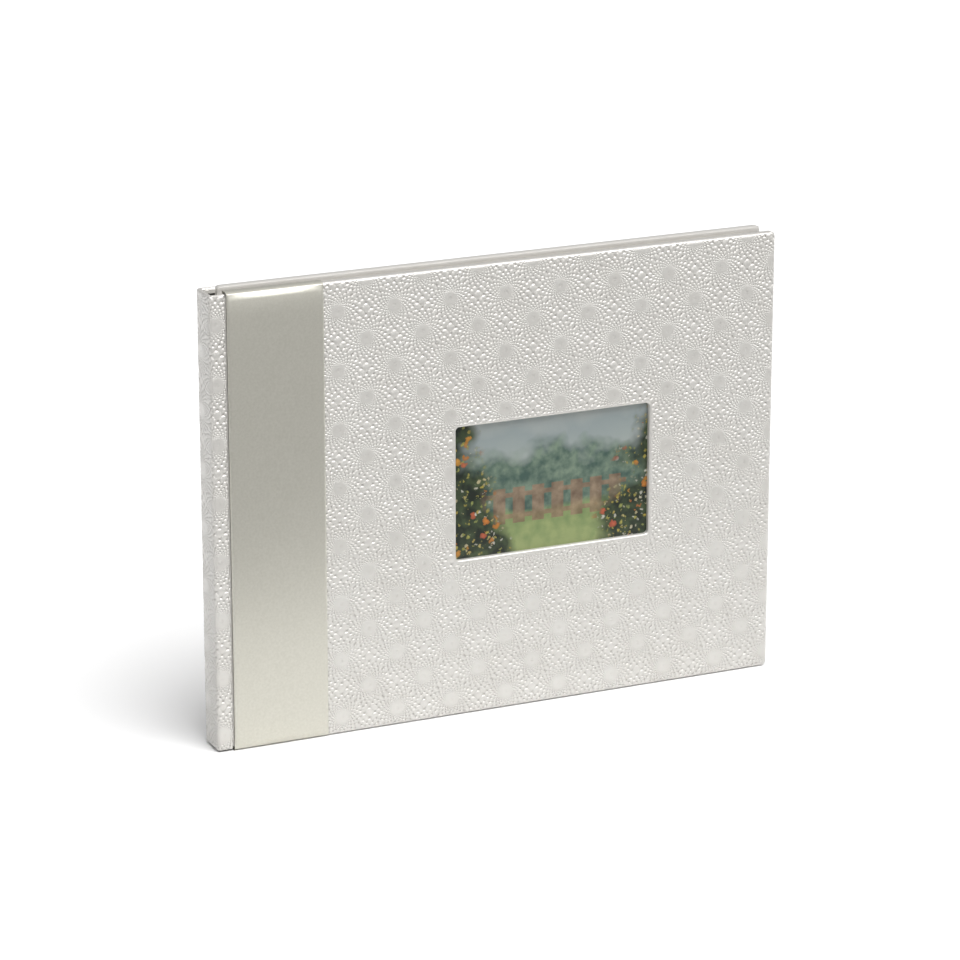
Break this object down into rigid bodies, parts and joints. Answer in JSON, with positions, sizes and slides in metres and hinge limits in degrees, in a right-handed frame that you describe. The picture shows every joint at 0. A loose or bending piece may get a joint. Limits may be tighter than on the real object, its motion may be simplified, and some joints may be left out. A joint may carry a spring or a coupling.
{
  "type": "photo album",
  "caption": "Landscape photo album standing closed, with hinged covers, a picture window, a smooth padded band and a block of thick leaves.",
  "frame": {"origin": "middle of the bounding box's footprint, on the floor that the closed album stands on", "axes": "+X from the spine to the fore-edge, +Y from the front cover to the back cover, +Z from the foot to the head"},
  "size_m": [0.2908, 0.0208, 0.222],
  "materials": {
    "leatherette": "pearl, embossed",
    "satin_band": "satin pearl, smooth",
    "greyboard": "matte",
    "lining_paper": "matte",
    "page_paper": "satin",
    "channel_steel": "dull",
    "print_paper": "gloss"
  },
  "bodies": {
    "spine": {"spine_stiffener": "greyboard", "spine_covering": "leatherette", "page_channel": "channel_steel", "page_block": "page_paper"},
    "front_cover": {"front_covering": "leatherette", "front_frame_board": "greyboard", "window_print": "print_paper", "front_backing_board": "greyboard", "front_band": "satin_band", "front_lining": "lining_paper"},
    "back_cover": {"back_covering": "leatherette", "back_board": "greyboard", "back_lining": "lining_paper"}
  },
  "joints": [
    {"name": "front_cover_hinge", "type": "hinge", "parent": "spine", "child": "front_cover", "pos_m": [-0.1375, -0.00963, 0.111], "axis": [0, 0, -1], "range_deg": [0, 180]},
    {"name": "back_cover_hinge", "type": "hinge", "parent": "spine", "child": "back_cover", "pos_m": [-0.13635, 0.00958, 0.111], "axis": [0, 0, 1], "range_deg": [0, 180]}
  ]
}
